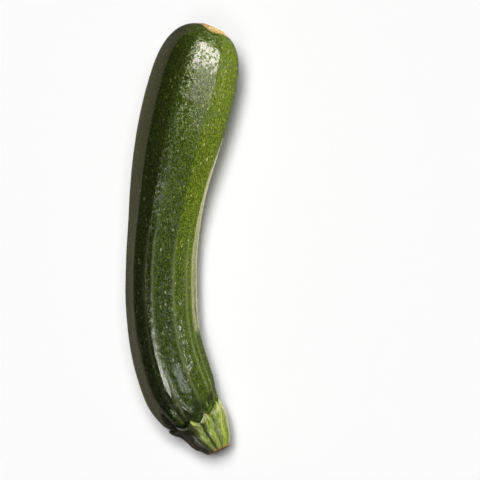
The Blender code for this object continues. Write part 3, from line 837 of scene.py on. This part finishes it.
fruit = makeFruit()
fruit.data.materials.append(makeSkinMaterial())
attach(fruit, "root")
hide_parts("fruit")
print("fruit made:", len(fruit.data.polygons), "faces")

stem = makeStem()
stem.data.materials.append(makeStemMaterial())
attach(stem, "root")
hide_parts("stem")
print("stem made:", len(stem.data.polygons), "faces")


# studio: pale floor, soft lights and the camera straight above

studio = {
    "floorColour": "#ffffff",
    "floorRoughness": 0.9,
    "floorHalf": 3000.0,
    "floorDrop": 0.05,  # keeps the floor clear of the flattened underside
    "cameraHeight": 1600.0,
    "pictureWidth": 240.0,  # what the picture spans at the fruit's widest height
    "widestHeight": 20.0,
    "pictureCentre": (29.25, -0.75),  # before the shift
    # lamps: where each stands, what it points at, its width and length, radiance, colour and turn
    "softLamps": {  # these light the courgette and don't show as highlights
        "keyFromRight": ((950, 300, 630), (0, 0, 20), (170, 600), 43.0, "#fff8e4", 0.0),
        "fillFromTip": ((150, 900, 900), (0, 60, 20), (500, 500), 1.0, "#f4ffe8", 0.0),
        "fillFromLeft": ((-900, 0, 120), (0, 0, 20), (600, 300), 1.8, "#fff8e4", 0.0)},
    "mirroredLamps": {  # these show only as highlights: the window's, the room's and the pale floor's
        "windowAbove": ((56, 134, 120), (56, 134, 0), (132, 86), 21.0, "#fff4f6", -12.0),
        "windowEdge": ((58, 77, 120), (58, 77, 0), (86, 26), 3.8, "#fff4f6", -12.0),
        "windowTail": ((60, 44, 120), (60, 44, 0), (54, 36), 1.4, "#fff4f6", -12.0),
        "glintMiddle": ((-94, -153, 240), (-94, -153, 0), (118, 192), 13.0, "#ffffff", 0.0),
        "glintEdge": ((-72, -40, 240), (-72, -40, 0), (76, 40), 0.8, "#ffffff", 0.0),
        "glintCrest": ((46, -132, 240), (46, -132, 0), (40, 180), 5.0, "#ffffff", 34.0),
        "glintRight": ((288, 33, 240), (288, 33, 0), (72, 40), 14.0, "#ffffff", 0.0),
        "glintStem": ((75, -240, 240), (75, -240, 0), (160, 160), 3.0, "#ffffff", 0.0),
        "floorGleam": ((16, 3, 1), (16, 3, 100), (16, 95), 1.0, "#fff2cc", 0.0)},
    "stemOnly": ("glintStem",),  # lamps that only the stem mirrors
    # the floor's own lights: how far a shadow falls per unit of height, the light's spread and its radiance
    "floorLights": (
        ((0.10, -0.38), 20.0, 0.45), ((0.20, -0.15), 14.0, 0.36), ((0.20, 0.30), 14.0, 0.08),
        ((-0.20, -0.25), 14.0, 0.13)),
    # what the wax mirrors, by direction round the long axis: 0 is up, 90 the right and -90 the left
    "surroundings": (
        (-180, 0.20, "#fff2d4"), (-158, 0.22, "#fff2d4"), (-144, 0.33, "#fff2d4"), (-130, 0.52, "#fff2d4"),
        (-108, 0.70, "#fff2d4"), (-98, 0.70, "#fff2d4"), (-88, 0.10, "#fff2d4"), (-45, 0.08, "#ffffff"),
        (-20, 0.12, "#ffffff"), (0, 0.15, "#ffffff"), (60, 0.12, "#ffffff"), (90, 0.08, "#ffffff"),
        (180, 0.10, "#ffffff")),
    "backdrop": "#f4f4f4",
}


def makeFloor():
    material, shader = newMaterial("matWhiteFloor")
    shader.inputs["Base Color"].default_value = toLinear(studio["floorColour"])
    shader.inputs["Roughness"].default_value = studio["floorRoughness"]
    shader.inputs["Specular IOR Level"].default_value = 0.0
    half = studio["floorHalf"] * mm
    corners = [(-half, -half, 0), (half, -half, 0), (half, half, 0), (-half, half, 0)]
    mesh = bpy.data.meshes.new("floor")
    mesh.from_pydata(corners, [], [(0, 1, 2, 3)])
    mesh.materials.append(material)
    floor = bpy.data.objects.new("floor", mesh)
    floor.location.z = -studio["floorDrop"] * mm
    bpy.context.scene.collection.objects.link(floor)
    floor.visible_glossy = False
    floor.visible_diffuse = False
    return floor


def makeLamp(name, at, to, size, radiance, colour, turn):
    light = bpy.data.lights.new(name, "AREA")
    light.shape = "RECTANGLE"
    light.size, light.size_y = size[0] * mm, size[1] * mm
    light.energy = radiance * math.pi * light.size * light.size_y
    light.color = toLinear(colour)[:3]
    lamp = bpy.data.objects.new(name, light)
    lamp.location = Vector(at) * mm
    aim = (Vector(to) * mm - lamp.location).to_track_quat("-Z", "Y")
    lamp.rotation_euler = (aim @ Euler((0, 0, math.radians(turn))).to_quaternion()).to_euler()
    lamp.visible_camera = False
    bpy.context.scene.collection.objects.link(lamp)
    return lamp


def lightOnly(lamp, members):
    # light linking: the lamp reaches these objects and no others
    group = bpy.data.collections.new(lamp.name + "Reach")
    for member in members:
        group.objects.link(member)
    lamp.light_linking.receiver_collection = group


def makeSurroundings():
    # the wax and the stem mirror these, and the camera sees the plain backdrop instead
    world = bpy.data.worlds.new("studio")
    bpy.context.scene.world = world
    world.use_nodes = True
    tree = world.node_tree
    around = tree.nodes["Background"]
    world.cycles_visibility.diffuse = False
    direction = addNode(tree, "TexCoord").outputs["Generated"]
    parts = addNode(tree, "SeparateXYZ", None, {"Vector": direction})
    turn = addNode(tree, "Math", {"operation": "ARCTAN2"}, {0: parts.outputs["X"], 1: parts.outputs["Z"]})
    place = addNode(tree, "Math", {"operation": "MULTIPLY_ADD"},
                    {0: turn.outputs["Value"], 1: 1 / (2 * math.pi), 2: 0.5})
    ramp = addNode(tree, "ValToRGB", None, {"Fac": place.outputs["Value"]})
    stops = ramp.color_ramp.elements
    while len(stops) > 1:
        stops.remove(stops[-1])
    for i, (roll, radiance, colour) in enumerate(studio["surroundings"]):
        stop = stops[0] if i == 0 else stops.new(roll / 360 + 0.5)
        stop.position = roll / 360 + 0.5
        stop.color = tuple(c * radiance for c in toLinear(colour)[:3]) + (1.0,)
    tree.links.new(ramp.outputs["Color"], around.inputs["Color"])
    backdrop = addNode(tree, "Background", None, {"Color": toLinear(studio["backdrop"])})
    seen = addNode(tree, "LightPath").outputs["Is Camera Ray"]
    mixed = addNode(tree, "MixShader", None,
                    {0: seen, 1: around.outputs["Background"], 2: backdrop.outputs["Background"]})
    tree.links.new(mixed.outputs["Shader"], tree.nodes["World Output"].inputs["Surface"])


floor = makeFloor()
for name, spec in studio["softLamps"].items():
    lamp = makeLamp(name, *spec)
    lamp.visible_glossy = False
    lightOnly(lamp, (fruit, stem))
for name, spec in studio["mirroredLamps"].items():
    lamp = makeLamp(name, *spec)
    lamp.visible_diffuse = False
    lightOnly(lamp, (stem,) if name in studio["stemOnly"] else (fruit, stem))
for i, (fall, spread, radiance) in enumerate(studio["floorLights"]):
    sun = bpy.data.lights.new("floorSun" + str(i), "SUN")
    sun.energy = radiance * math.pi
    sun.angle = math.radians(spread)
    sunLamp = bpy.data.objects.new(sun.name, sun)
    sunLamp.location = (0, 0, 1)
    sunLamp.rotation_euler = Vector(fall + (-1.0,)).to_track_quat("-Z", "Y").to_euler()
    bpy.context.scene.collection.objects.link(sunLamp)
    lightOnly(sunLamp, (floor,))
makeSurroundings()

camera = bpy.data.cameras.new("camera")
camera.sensor_width = 36.0
reach = studio["cameraHeight"] - studio["widestHeight"]
camera.lens = camera.sensor_width * reach / studio["pictureWidth"]
camera.clip_end = 20.0
cameraObject = bpy.data.objects.new("camera", camera)
shift = fruitShape["originShift"]
cameraObject.location = (
    (studio["pictureCentre"][0] - shift[0]) * mm,
    (studio["pictureCentre"][1] - shift[1]) * mm,
    studio["cameraHeight"] * mm)
bpy.context.scene.collection.objects.link(cameraObject)
bpy.context.scene.camera = cameraObject
bpy.context.scene.view_settings.view_transform = "Standard"
print("studio made")
